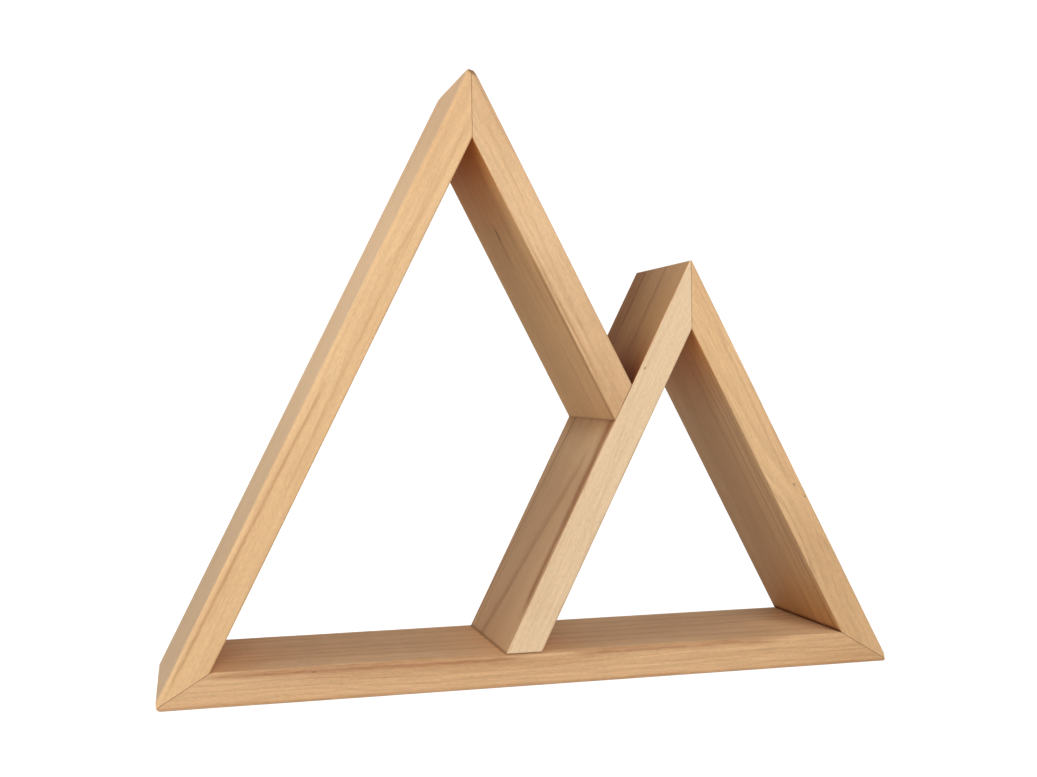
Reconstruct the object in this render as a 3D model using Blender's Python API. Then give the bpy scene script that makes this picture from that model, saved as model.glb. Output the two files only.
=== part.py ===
"""Two-peak mountain display shelf, modelled as the joinery it is.

Five lengths of board make the shelf: a base, the two sides of the large peak
and the two sides of the small peak, whose left side stands on the base and
carries the cut-off end of the large peak. The four corners are mitred, the
other two joints are butts, and three T-headed brads pin each joint from a
face that is out of sight in use.

World frame: +Z up, X along the base board, the open front towards -Y. The
origin is on the floor, under the middle of the base board.
"""
import math

import bmesh
import bpy
from mathutils import Matrix, Vector

# Driving dimensions, in metres. Heights and width are to the sharp corners of the outline.
WIDTH = 0.400
DEPTH = 0.089
LARGE_PEAK_HEIGHT = 0.325
SMALL_PEAK_HEIGHT = 0.225
THICKNESS = 0.0175
SLOPE = math.radians(63.0)  # every sloping board, to the floor

# Finish of the boards
EASED_RADIUS = 0.0010  # sanded round on the long edges
EASED_STEPS = 3
TIP_SANDING = 0.0010  # taken off each sharp mitred tip
GLUE_GAP = 0.0003  # between the two faces of a joint
STOCK_SPARE = 0.050  # extra board past each end before it is cut
SHADING_ANGLE = math.radians(35.0)  # edges sharper than this stay crisp

# Brads: flat steel wire with a T head and a chisel point
WIRE_WIDTH = 0.00125
WIRE_THICKNESS = 0.0010
HEAD_WIDTH = 0.0020
HEAD_HEIGHT = 0.0008
POINT_HEIGHT = 0.0012
SHORT_BRAD = 0.025  # through the mitres
LONG_BRAD = 0.030  # through a full board into the end of the next
HEAD_SINK = 0.0004  # below the face of the wood
SLOT_CLEARANCE = 0.0002  # wood to steel, all round
SLOT_MOUTH = 0.0020  # how far a slot cutter stands out of the wood

# Brad rows, each with a front, a middle and a back brad
ROW_INSET = 0.015  # outer brads to the board's front and back edges
APEX_SETBACK = 0.021  # sharp apex to the row, along the outer face
CORNER_SETBACK = 0.018  # sharp lower corner to the row, along the floor
BUTT_SHIFT = 0.003  # off a butt joint's centre, so that the tips end deep in the slanting board

# Finishes: linear base colour, roughness, metallic
FINISHES = {
    "base_board": ((0.66, 0.42, 0.22), 0.55, 0.0),
    "large_left_board": ((0.70, 0.44, 0.21), 0.52, 0.0),
    "large_right_board": ((0.64, 0.39, 0.19), 0.52, 0.0),
    "small_left_board": ((0.76, 0.54, 0.32), 0.55, 0.0),
    "small_right_board": ((0.68, 0.43, 0.21), 0.52, 0.0),
    "brad": ((0.45, 0.45, 0.44), 0.35, 1.0),
}


def heading(angle):
    """Unit vector in the XZ plane, at `angle` above +X."""
    return Vector((math.cos(angle), 0.0, math.sin(angle)))


def outward(angle):
    """Unit normal of the outer face of a board that runs along `angle`."""
    return heading(angle + math.pi / 2)


# Corners of the outline, all at mid depth
RUN_PER_RISE = 1.0 / math.tan(SLOPE)
LEFT_CORNER = Vector((-WIDTH / 2, 0.0, 0.0))
RIGHT_CORNER = Vector((WIDTH / 2, 0.0, 0.0))
LARGE_APEX = LEFT_CORNER + heading(SLOPE) * LARGE_PEAK_HEIGHT / math.sin(SLOPE)
SMALL_APEX = RIGHT_CORNER + heading(math.pi - SLOPE) * SMALL_PEAK_HEIGHT / math.sin(SLOPE)
FOOT = SMALL_APEX - heading(SLOPE) * SMALL_PEAK_HEIGHT / math.sin(SLOPE)

# The valley, where the outer faces of the two peaks cross
VALLEY_HEIGHT = (LARGE_PEAK_HEIGHT + SMALL_PEAK_HEIGHT) / 2
VALLEY_HEIGHT -= (SMALL_APEX.x - LARGE_APEX.x) / (2 * RUN_PER_RISE)
VALLEY = FOOT + heading(SLOPE) * VALLEY_HEIGHT / math.sin(SLOPE)

UP = Vector((0.0, 0.0, 1.0))
DOWN = -UP
OUT_LEFT = -heading(SLOPE / 2)  # along the lower left mitre, away from the shelf
OUT_RIGHT = heading(-SLOPE / 2)


def new_material(name, finish):
    colour, roughness, metallic = finish
    material = bpy.data.materials.new(name)
    material.use_nodes = True
    shader = material.node_tree.nodes["Principled BSDF"]
    shader.inputs["Base Color"].default_value = (*colour, 1.0)
    shader.inputs["Roughness"].default_value = roughness
    shader.inputs["Metallic"].default_value = metallic
    return material


def new_object(name, mesh_data, start, angle, parent):
    """Puts a mesh in the scene with its local X along `angle` and its origin at `start`."""
    mesh = bpy.data.meshes.new(name)
    bmesh.ops.recalc_face_normals(mesh_data, faces=mesh_data.faces)
    mesh_data.to_mesh(mesh)
    mesh_data.free()
    item = bpy.data.objects.new(name, mesh)
    item.location = start
    item.rotation_euler = (0.0, -angle, 0.0)
    item.parent = parent
    bpy.context.scene.collection.objects.link(item)
    return item


def extruded(outline, travel):
    """A closed solid: the flat `outline`, a list of vectors, extruded along `travel`."""
    solid = bmesh.new()
    face = solid.faces.new([solid.verts.new(point) for point in outline])
    swept = bmesh.ops.extrude_face_region(solid, geom=[face])
    moved = [item for item in swept["geom"] if isinstance(item, bmesh.types.BMVert)]
    bmesh.ops.translate(solid, verts=moved, vec=travel)
    return solid


# Boards


def eased_section():
    """Cross-section of the board stock at local X = -STOCK_SPARE, its outer face at Z = 0."""
    corners = [
        (DEPTH / 2 - EASED_RADIUS, -EASED_RADIUS),
        (-DEPTH / 2 + EASED_RADIUS, -EASED_RADIUS),
        (-DEPTH / 2 + EASED_RADIUS, -THICKNESS + EASED_RADIUS),
        (DEPTH / 2 - EASED_RADIUS, -THICKNESS + EASED_RADIUS),
    ]
    section = []
    for quarter, (y, z) in enumerate(corners):
        for step in range(EASED_STEPS + 1):
            turn = (quarter + step / EASED_STEPS) * math.pi / 2
            across = y + EASED_RADIUS * math.cos(turn)
            up = z + EASED_RADIUS * math.sin(turn)
            section.append(Vector((-STOCK_SPARE, across, up)))
    return section


def cut_away(solid, placing, point, waste_side):
    """Saws a solid along the world plane through `point` and caps it."""
    to_local = placing.inverted()
    cut = bmesh.ops.bisect_plane(
        solid,
        geom=[*solid.verts, *solid.edges, *solid.faces],
        plane_co=to_local @ point,
        plane_no=to_local.to_3x3() @ waste_side,
        clear_outer=True,
    )
    rim = [item for item in cut["geom_cut"] if isinstance(item, bmesh.types.BMEdge)]
    bmesh.ops.edgeloop_fill(solid, edges=rim)


def board(name, start, end, cuts, parent):
    """A length of stock whose outer face runs from `start` to `end`, sawn by `cuts`."""
    along = end - start
    angle = math.atan2(along.z, along.x)
    travel = Vector((along.length + 2 * STOCK_SPARE, 0.0, 0.0))
    solid = extruded(eased_section(), travel)
    placing = Matrix.Translation(start) @ Matrix.Rotation(-angle, 4, "Y")
    for point, waste_side in cuts:
        cut_away(solid, placing, point, waste_side)
    item = new_object(name, solid, start, angle, parent)
    item.data.materials.append(new_material(name, FINISHES[name]))
    item.data.shade_smooth()
    item.data.set_sharp_from_angle(angle=SHADING_ANGLE)
    return item


def mitre(corner, out):
    """The saw cuts of the two boards that meet at a mitred corner pointing along `out`.

    The first list is for the board on the side that `out` reaches by a quarter
    turn from +X towards +Z, and the second is for its partner.
    """
    side = Vector((-out.z, 0.0, out.x))
    blunt = (corner - out * TIP_SANDING, out)
    first = [(corner + side * GLUE_GAP / 2, -side), blunt]
    second = [(corner - side * GLUE_GAP / 2, side), blunt]
    return first, second


def make_boards(parent):
    large_left_top, large_right_top = mitre(LARGE_APEX, UP)
    small_left_top, small_right_top = mitre(SMALL_APEX, UP)
    base_left, large_left_bottom = mitre(LEFT_CORNER, OUT_LEFT)
    small_right_bottom, base_right = mitre(RIGHT_CORNER, OUT_RIGHT)
    foot_cut = (FOOT + UP * (THICKNESS + GLUE_GAP), DOWN)
    valley_cut = (VALLEY + outward(SLOPE) * GLUE_GAP, -outward(SLOPE))
    plans = [
        ("base_board", RIGHT_CORNER, LEFT_CORNER, base_left + base_right),
        ("large_left_board", LEFT_CORNER, LARGE_APEX, large_left_bottom + large_left_top),
        ("large_right_board", LARGE_APEX, VALLEY, large_right_top + [valley_cut]),
        ("small_left_board", FOOT, SMALL_APEX, small_left_top + [foot_cut]),
        ("small_right_board", SMALL_APEX, RIGHT_CORNER, small_right_top + small_right_bottom),
    ]
    return {name: board(name, start, end, cuts, parent) for name, start, end, cuts in plans}


# Brads and the slots they sit in. Local X is the drive direction, local Y the head's width.


def t_shape(head_start, head_end, head_half, wire_end, wire_half, point_height):
    """Outline of a T in the XY plane. A point height of 0 leaves the wire's end square."""
    tip = [(wire_end, 0.0)] if point_height else []
    half = [
        (head_start, head_half),
        (head_end, head_half),
        (head_end, wire_half),
        (wire_end - point_height, wire_half),
    ]
    mirrored = [(x, -y) for x, y in reversed(half)]
    return half + tip + mirrored


def flat_bar(outline, thickness):
    """Extrudes an XY outline to `thickness`, centred on the plane Z = 0."""
    points = [Vector((x, y, -thickness / 2)) for x, y in outline]
    return extruded(points, UP * thickness)


def brad(name, head, angle, length, finish, parent):
    outline = t_shape(0.0, HEAD_HEIGHT, HEAD_WIDTH / 2, length, WIRE_WIDTH / 2, POINT_HEIGHT)
    item = new_object(name, flat_bar(outline, WIRE_THICKNESS), head, angle, parent)
    item.data.materials.append(finish)
    return item


def slot_cutter(name, head, angle, length, parent):
    """The room that a driven brad takes up in the wood, open at the surface."""
    outline = t_shape(
        -SLOT_MOUTH,
        HEAD_HEIGHT + SLOT_CLEARANCE,
        HEAD_WIDTH / 2 + SLOT_CLEARANCE,
        length + SLOT_CLEARANCE,
        WIRE_WIDTH / 2 + SLOT_CLEARANCE,
        0.0,
    )
    item = new_object(
        name, flat_bar(outline, WIRE_THICKNESS + 2 * SLOT_CLEARANCE), head, angle, parent
    )
    item.hide_render = True
    item.display_type = "WIRE"
    return item


def brad_row(joint, entry, angle, length, boards, finish, parent):
    """Three brads driven along `angle` from `entry` on a board's face, through `boards`."""
    reach = DEPTH / 2 - ROW_INSET
    places = {"front": -reach, "middle": 0.0, "back": reach}
    for place, y in places.items():
        head = entry + heading(angle) * HEAD_SINK + Vector((0.0, y, 0.0))
        brad(f"{joint}_brad_{place}", head, angle, length, finish, parent)
        cutter = slot_cutter(f"{joint}_slot_{place}", head, angle, length, parent)
        for wood in boards:
            cut = wood.modifiers.new(cutter.name, "BOOLEAN")
            cut.operation = "DIFFERENCE"
            cut.solver = "EXACT"
            cut.object = cutter


def make_brads(boards, parent):
    finish = new_material("brad", FINISHES["brad"])
    base = boards["base_board"]
    large_left = boards["large_left_board"]
    large_right = boards["large_right_board"]
    small_left = boards["small_left_board"]
    small_right = boards["small_right_board"]
    down_slope = heading(-SLOPE)
    into_right_side = -SLOPE - math.pi / 2  # square to the falling outer faces
    straight_up = math.pi / 2
    across = Vector((1.0, 0.0, 0.0))

    # Entry points of the two butt joints, from the middle of each contact
    foot_middle = FOOT.x + (THICKNESS + GLUE_GAP) * RUN_PER_RISE + THICKNESS / math.sin(SLOPE) / 2
    under_foot = Vector((foot_middle + BUTT_SHIFT, 0.0, 0.0))
    contact_half = THICKNESS / math.sin(2 * SLOPE) / 2
    behind_valley = VALLEY - heading(SLOPE) * (contact_half - BUTT_SHIFT)
    behind_valley -= outward(SLOPE) * THICKNESS

    rows = [
        ("large_peak", LARGE_APEX + down_slope * APEX_SETBACK, into_right_side, SHORT_BRAD,
         [large_right, large_left]),
        ("small_peak", SMALL_APEX + down_slope * APEX_SETBACK, into_right_side, SHORT_BRAD,
         [small_right, small_left]),
        ("left_corner", LEFT_CORNER + across * CORNER_SETBACK, straight_up, SHORT_BRAD,
         [base, large_left]),
        ("right_corner", RIGHT_CORNER - across * CORNER_SETBACK, straight_up, SHORT_BRAD,
         [base, small_right]),
        ("foot", under_foot, straight_up, LONG_BRAD, [base, small_left]),
        ("valley", behind_valley, SLOPE + math.pi / 2, LONG_BRAD, [small_left, large_right]),
    ]
    for joint, entry, angle, length, pinned in rows:
        brad_row(joint, entry, angle, length, pinned, finish, parent)


def main():
    for leftover in list(bpy.data.objects):
        bpy.data.objects.remove(leftover, do_unlink=True)
    shelf = bpy.data.objects.new("mountain_shelf", None)
    bpy.context.scene.collection.objects.link(shelf)
    make_brads(make_boards(shelf), shelf)


main()
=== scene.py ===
"""Looks of the two-peak mountain shelf: hand-sanded boards of light wood, pinned with steel brads.

Each board is built again as a fine closed mesh on the planes of its CAD solid: soft arrises whose
radius wanders along the board, sanded mitre tips, and pockets over the brad heads. Its wood is a
solid pattern of growth rings, fibres and pores, so that the figure runs on round every edge. On top
of that, single faces carry painted light and shade: whole faces made lighter, darker or whiter as
light and sheen would make them, and painted shade and shadow lines where faces meet. Edges and
joints have their wear and stain. The CAD brads stay and get a steel finish.
"""

import math
from dataclasses import dataclass, field

import bmesh
import bpy
import numpy as np
from mathutils import Matrix, Vector, noise


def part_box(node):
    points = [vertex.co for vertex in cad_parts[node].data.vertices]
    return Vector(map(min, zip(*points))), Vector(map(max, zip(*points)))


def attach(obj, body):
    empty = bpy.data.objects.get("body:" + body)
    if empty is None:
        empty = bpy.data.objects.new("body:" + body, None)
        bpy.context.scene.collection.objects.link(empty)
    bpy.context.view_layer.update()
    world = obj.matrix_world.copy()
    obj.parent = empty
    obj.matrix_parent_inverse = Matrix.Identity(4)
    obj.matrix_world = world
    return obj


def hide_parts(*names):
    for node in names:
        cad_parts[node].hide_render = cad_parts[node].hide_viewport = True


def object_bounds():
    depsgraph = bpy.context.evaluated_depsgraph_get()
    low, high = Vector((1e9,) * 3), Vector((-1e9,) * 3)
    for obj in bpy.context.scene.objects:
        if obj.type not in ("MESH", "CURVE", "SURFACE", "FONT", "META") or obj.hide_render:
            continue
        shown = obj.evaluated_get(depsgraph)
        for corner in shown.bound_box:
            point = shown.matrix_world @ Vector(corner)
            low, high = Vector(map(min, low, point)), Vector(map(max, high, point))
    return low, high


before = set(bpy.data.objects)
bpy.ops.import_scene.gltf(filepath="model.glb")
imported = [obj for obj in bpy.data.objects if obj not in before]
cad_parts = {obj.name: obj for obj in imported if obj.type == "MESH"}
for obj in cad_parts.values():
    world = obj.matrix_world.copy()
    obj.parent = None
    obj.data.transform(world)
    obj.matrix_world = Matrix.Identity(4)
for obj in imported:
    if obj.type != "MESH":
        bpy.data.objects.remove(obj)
cad_low, cad_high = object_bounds()

MM = 0.001

# Reading the CAD
PARALLEL = 0.9999  # the cosine between directions that count as one
FRONT_LEAN = 0.01  # a face whose normal leans more than this along Y isn't square to the front
SAME_PLANE = 0.02 * MM  # what lies this near a plane is on it
HEAD_SINK = 0.4 * MM  # from the face of the wood to a brad's head
HEAD_RIM = 0.5 * MM  # a brad's points this near its head's top are the head's rim

# The grid of a board's mesh: distances from its long edges and its ends, and the widest steps
EDGE_LINES = [mm * MM for mm in (0.0, 0.25, 0.5, 0.75, 1.0, 1.35, 1.7, 2.1, 2.5, 3.0)]
END_LINES = [mm * MM for mm in (0.0, 0.06, 0.15, 0.4, 1.0, 2.0, 3.5, 5.5, 8.0)]
LENGTH_STEP = 4.5 * MM
WIDTH_STEP = 6.0 * MM
THROUGH_STEP = 3.0 * MM
STEP_SLACK = 0.01  # a gap this small a part over a whole number of steps gets no extra one

# Joints and hand sanding
MITRE_CLOSING = 0.14 * MM  # each mitred end reaches this far into the glue gap
BUTT_CLOSING = 0.26 * MM  # a butted end reaches this far, as the face it meets stays put
SEAM_EASE = 0.05 * MM  # the arris at a joint is broken this much
LEAST_RADIUS = 0.2 * MM
RADIUS_WANDER = 0.3  # the share by which an arris radius strays
RADIUS_WANDER_PER_METRE = 35.0
ARRIS_SEED_STEP = 7.0  # between the noises of a board's four arrises
SURFACE_WAVE = 0.06 * MM  # the faces are uneven by this much
SURFACE_WAVES_PER_METRE = 22.0

# Pockets over the brad heads
POCKET_ROOM = 0.2 * MM  # wood to steel round a head
POCKET_DEPTH = 1.3 * MM
POCKET_FACE = 0.15 * MM  # grid faces this near a wide face lie on it

# Marks for the materials
ARRIS_MARK = 1.6 * MM  # how far from a long edge its wear is marked
SEAM_MARK = 1.0 * MM  # how far from a joint its glue stain is marked

# Colours and tints
# Painted shade: a warm and a deep tint for corners and hollows, and the colour of a painted shadow
# line in a corner.
PAINTED_WARM_SHADE = (0.95, 0.66, 0.33)
PAINTED_DEEP_SHADE = (0.50, 0.25, 0.08)
PAINTED_CORNER_SHADOW = (0.45, 0.28, 0.15)
GLUE_STAIN = (0.28, 0.12, 0.045)
KNOT_COLOUR = (0.17, 0.075, 0.035)
BRIGHT_STEEL = (0.52, 0.52, 0.51)
DULL_STEEL = (0.33, 0.32, 0.31)
WHITE = (1.0, 1.0, 1.0)
TABLE_GREY = (0.75, 0.75, 0.75)

# The camera: from the middle of the shelf's underside, in metres, degrees and millimetres of lens
CAMERA_PLACE = (-0.18627, -0.74126, 0.16278)
CAMERA_TURN = -14.064
CAMERA_PITCH = -0.53
CAMERA_ROLL = 0.83
CAMERA_LENS = 47.68
CAMERA_SENSOR = 36.0


def add_object(name, data):
    thing = bpy.data.objects.new(name, data)
    bpy.context.scene.collection.objects.link(thing)
    return thing


# Reading the frame


@dataclass
class Plane:
    """The points whose position along `normal` is `distance`."""

    normal: Vector
    distance: float
    area: float = 0.0


def flat_faces(node):
    """The planes of the node's flat faces that run square to the front, biggest first."""
    found = []
    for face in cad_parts[node].data.polygons:
        if abs(face.normal.y) > FRONT_LEAN:
            continue
        distance = face.normal.dot(face.center)
        for plane in found:
            same_way = plane.normal.dot(face.normal) > PARALLEL
            if same_way and abs(plane.distance - distance) < SAME_PLANE:
                plane.area += face.area
                break
        else:
            found.append(Plane(face.normal.copy(), distance, face.area))
    return sorted(found, key=lambda plane: -plane.area)


@dataclass
class Board:
    """A board's planes. Its own axes: `axis` along it, +Y across it, `out` from its outer face."""

    node: str
    axis: Vector
    out: Vector
    outer: float
    thickness: float
    front: float
    back: float
    start: Plane
    end: Plane

    def reach(self, plane, depth):
        """Where an end plane cuts the board at `depth` under its outer face, along `axis`."""
        offset = plane.normal.dot(self.out) * (self.outer - depth)
        return (plane.distance - offset) / plane.normal.dot(self.axis)

    def begin(self):
        return self.reach(self.start, 0.0)

    def length(self):
        return self.reach(self.end, 0.0) - self.begin()

    def local(self, point):
        """A world point as (along, across, out), from the sharp start of the outer face."""
        along = self.axis.dot(point) - self.begin()
        return Vector((along, point.y, self.out.dot(point) - self.outer))


def corner(board, depth, other, other_depth):
    """Millimetres along the board to where another board's face meets this one's face at `depth`."""
    face = Plane(other.out, other.outer - other_depth)
    return (board.reach(face, depth) - board.begin()) / MM


def read_board(node, faces_up=True):
    """A CAD board's planes. Its outer face is the wide one that looks up, or down."""
    planes = flat_faces(node)
    outer = next(plane for plane in planes[:2] if (plane.normal.z > 0.0) == faces_up)
    inner = next(plane for plane in planes[:2] if plane is not outer)
    out = outer.normal
    axis = Vector((out.z, 0.0, -out.x))
    ends = [plane for plane in planes[2:] if abs(plane.normal.dot(out)) < PARALLEL][:2]
    ends.sort(key=lambda plane: plane.normal.dot(axis))
    low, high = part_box(node)
    thickness = outer.distance + inner.distance
    return Board(node, axis, out, outer.distance, thickness, low.y, high.y, *ends)


def head_boxes(board, joints):
    """For each brad driven in through this board: its face depth and its head's local rectangle."""
    boxes = []
    for joint in joints:
        for place in ("front", "middle", "back"):
            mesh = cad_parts[f"{joint}_brad_{place}"].data
            points = np.array([board.local(vertex.co) for vertex in mesh.vertices])
            under_outer = -points[:, 2].max()
            under_inner = points[:, 2].min() + board.thickness
            from_outer = abs(under_outer - HEAD_SINK) < abs(under_inner - HEAD_SINK)
            depth = 0.0 if from_outer else board.thickness
            sunk = np.abs(-points[:, 2] - depth)
            head = points[sunk < sunk.min() + HEAD_RIM]
            low = head[:, :2].min(axis=0) - POCKET_ROOM
            high = head[:, :2].max(axis=0) + POCKET_ROOM
            boxes.append((depth, low, high))
    return boxes


# Building a board


@dataclass
class Facet:
    """A flat sanded across a corner: a point of it, which way it looks, and whether it's darker."""

    place: Vector
    direction: Vector
    bared: bool = False


@dataclass
class Sanding:
    """How a board was eased. An arris radius is a length, or a function of the distance along.

    A tip is the radius of the sharp outer corner at a mitre, and a closing says how far that end
    reaches past its CAD face, into the glue gap.
    """

    front_outer: object = 1.0 * MM
    front_inner: object = 1.0 * MM
    back_outer: object = 1.0 * MM
    back_inner: object = 1.0 * MM
    start_tip: float = 0.0
    end_tip: float = 0.0
    start_closing: float = MITRE_CLOSING
    end_closing: float = MITRE_CLOSING
    facets: list = field(default_factory=list)
    seed: float = 0.0

    def radii(self):
        return self.front_outer, self.front_inner, self.back_outer, self.back_inner


def filled(stops, step):
    """The sorted stops with even steps of at most `step` between them."""
    lines = []
    for low, high in zip(stops[:-1], stops[1:]):
        parts = max(1, math.ceil((high - low) / step - STEP_SLACK))
        lines += [low + (high - low) * part / parts for part in range(parts)]
    return lines + [stops[-1]]


def end_inset(board, plane, tip_radius, depth):
    """How far an end lies inside the sharp outer corner, for an array of depths."""
    outward = math.copysign(1.0, plane.normal.dot(board.axis))
    slope = (board.reach(plane, 0.0) - board.reach(plane, 1.0)) * outward
    straight = depth * slope
    if tip_radius <= 0.0:
        return straight
    join = tip_radius * (1.0 - math.sin(math.atan2(1.0, slope)))
    rounded = tip_radius * slope - np.sqrt(np.maximum(2.0 * tip_radius * depth - depth**2, 0.0))
    return np.where(depth < join, rounded, straight)


def radius_at(radius, along, seed):
    """An arris radius, wandering a little along the board as a hand-held sander does."""
    base = radius(along) if callable(radius) else radius
    wander = noise.noise(Vector((along * RADIUS_WANDER_PER_METRE, seed, 0.0)))
    return max(LEAST_RADIUS, base * (1.0 + RADIUS_WANDER * wander))


def rounded_section(y, depth, board, radii):
    """Moves points of the square section on to the rounded one. Only takes wood away."""
    front_outer, front_inner, back_outer, back_inner = radii
    y = y.copy()
    depth = depth.copy()
    corners = [
        (board.front, 1.0, 0.0, 1.0, front_outer),
        (board.front, 1.0, board.thickness, -1.0, front_inner),
        (board.back, -1.0, 0.0, 1.0, back_outer),
        (board.back, -1.0, board.thickness, -1.0, back_inner),
    ]
    for edge_y, into_y, edge_depth, into_depth, radius in corners:
        a = radius - (y - edge_y) * into_y
        b = radius - (depth - edge_depth) * into_depth
        near = (a > 0.0) & (b > 0.0)
        longest = np.maximum(a, b)
        squeeze = np.where(near, longest / np.maximum(np.hypot(a, b), 1e-12), 1.0)
        y = np.where(near, edge_y + into_y * (radius - a * squeeze), y)
        depth = np.where(near, edge_depth + into_depth * (radius - b * squeeze), depth)
    return y, depth


def grid_lines(board, pockets, start_inset, stop_inset):
    """Positions of the grid's lines along, across and through the board."""
    length = board.length()
    stations = set(END_LINES) | {length - line for line in END_LINES}
    across = set(EDGE_LINES) | {board.back - board.front - line for line in EDGE_LINES}
    for depth, low, high in pockets:
        at_start = start_inset(np.array([depth]))[0]
        at_end = stop_inset(np.array([depth]))[0]
        stretch = 1.0 - (at_start + at_end) / length
        stations |= {(low[0] - at_start) / stretch, (high[0] - at_start) / stretch}
        across |= {low[1] - board.front, high[1] - board.front}
    through = EDGE_LINES + [board.thickness - line for line in reversed(EDGE_LINES)]
    return (
        filled(sorted(stations), LENGTH_STEP),
        filled(sorted(across), WIDTH_STEP),
        filled(through, THROUGH_STEP),
    )


def seam_ease(from_end):
    """How far a section draws in near its end, so that the arris at the joint is broken."""
    share = min(max(0.0, from_end) / SEAM_EASE, 1.0)
    return SEAM_EASE * (1.0 - math.sqrt(1.0 - (1.0 - share) ** 2))


def drawn_in(values, low, high, ease):
    """The values from low to high, squeezed towards their middle by `ease` at both limits."""
    middle = (low + high) / 2
    half = (high - low) / 2
    return middle + (values - middle) * (1.0 - ease / half)


def board_points(board, sanding, lines, start_inset, stop_inset):
    """World positions of the whole grid as an array (along, across, through, 3)."""
    stations, across, through = [np.array(line) for line in lines]
    length = board.length()
    square_y, square_depth = np.meshgrid(across + board.front, through, indexing="ij")
    axis, out = np.array(board.axis), np.array(board.out)
    points = np.zeros((len(stations), len(across), len(through), 3))
    for row, along in enumerate(stations):
        radii = [
            radius_at(radius, along, sanding.seed + number * ARRIS_SEED_STEP)
            for number, radius in enumerate(sanding.radii())
        ]
        y, depth = rounded_section(square_y, square_depth, board, radii)
        ease = seam_ease(min(along, length - along))
        y = drawn_in(y, board.front, board.back, ease)
        depth = drawn_in(depth, 0.0, board.thickness, ease)
        inset_start = start_inset(depth) - sanding.start_closing
        inset_end = stop_inset(depth) - sanding.end_closing
        u = board.begin() + along + inset_start * (1.0 - along / length) - inset_end * along / length
        points[row] = (
            u[..., None] * axis
            + y[..., None] * np.array((0.0, 1.0, 0.0))
            + (board.outer - depth)[..., None] * out
        )
    return points


def shell_mesh(name, points):
    """A closed mesh over the outside of the grid."""
    shape = points.shape[:3]
    index = -np.ones(shape, int)
    outside = np.zeros(shape, bool)
    for side in (0, -1):
        outside[side] = True
        outside[:, side] = True
        outside[:, :, side] = True
    index[outside] = np.arange(outside.sum())
    faces = []
    for dimension in range(3):
        for side in (0, -1):
            sheet = np.take(index, side, axis=dimension)
            corners = [sheet[:-1, :-1], sheet[1:, :-1], sheet[1:, 1:], sheet[:-1, 1:]]
            quads = np.stack([corner.ravel() for corner in corners], axis=-1)
            flip = (side == 0) != (dimension == 1)
            faces.append(quads[:, ::-1] if flip else quads)
    mesh = bpy.data.meshes.new(name)
    mesh.from_pydata(points[outside].tolist(), [], np.concatenate(faces).tolist())
    return mesh


def cut_pockets(shell, board, pockets):
    """Sinks a small square-edged pocket into the board over each brad head."""
    for depth, low, high in pockets:
        inside = []
        for face in shell.faces:
            along, across, out = board.local(face.calc_center_median())
            at_face = abs(-out - depth) < POCKET_FACE
            if at_face and low[0] < along < high[0] and low[1] < across < high[1]:
                inside.append(face)
        inward = board.out * (-1.0 if depth == 0.0 else 1.0)
        for edge in {edge for face in inside for edge in face.edges}:
            if sum(face in inside for face in edge.link_faces) == 1:
                edge.smooth = False
        made = bmesh.ops.extrude_face_region(shell, geom=inside)
        bmesh.ops.delete(shell, geom=inside, context="FACES")
        moved = [item for item in made["geom"] if isinstance(item, bmesh.types.BMVert)]
        bmesh.ops.translate(shell, verts=moved, vec=inward * POCKET_DEPTH)


def wear_surface(shell, board, sanding):
    """Lets every face waver inwards a little, then takes the sanded facets off the tips."""
    middle = board.axis * (board.begin() + board.length() / 2)
    middle += board.out * (board.outer - board.thickness / 2)
    for vertex in shell.verts:
        wave = noise.noise(vertex.co * SURFACE_WAVES_PER_METRE + Vector((sanding.seed, 0.0, 0.0)))
        inward = middle + board.axis * board.axis.dot(vertex.co - middle) - vertex.co
        inward.normalize()
        vertex.co += inward * SURFACE_WAVE * (0.5 + 0.5 * wave)
        for facet in sanding.facets:
            above = facet.direction.dot(vertex.co - facet.place)
            if above > 0.0:
                vertex.co -= facet.direction * above


def store_marks(mesh, board, sanding):
    """Per vertex: its place in the board, its nearness to an arris and to a joint, and sanded tips."""
    local = np.array([board.local(vertex.co) for vertex in mesh.vertices])
    along, across, depth = local[:, 0], local[:, 1], -local[:, 2]
    side = np.minimum(across - board.front, board.back - across)
    face = np.minimum(depth, board.thickness - depth)
    arris = 1.0 - (np.maximum(side, 0.0) + np.maximum(face, 0.0)) / ARRIS_MARK
    to_start = along + board.begin() - board.reach(board.start, depth)
    to_end = board.reach(board.end, depth) - along - board.begin()
    seam = 1.0 - np.minimum(to_start, to_end) / SEAM_MARK
    points = np.array([vertex.co for vertex in mesh.vertices])
    bared = np.zeros(len(points))
    for facet in sanding.facets:
        if facet.bared:
            under = np.abs((points - np.array(facet.place)) @ np.array(facet.direction))
            bared[under < SAME_PLANE] = 1.0
    marks = {
        "grain_place": ("FLOAT_VECTOR", "vector", local),
        "arris": ("FLOAT", "value", np.maximum(arris, 0.0)),
        "seam": ("FLOAT", "value", np.clip(seam, 0.0, 1.0)),
        "bared": ("FLOAT", "value", bared),
    }
    for name, (kind, channel, values) in marks.items():
        attribute = mesh.attributes.new(name, kind, "POINT")
        attribute.data.foreach_set(channel, values.astype(np.float32).ravel())


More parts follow.
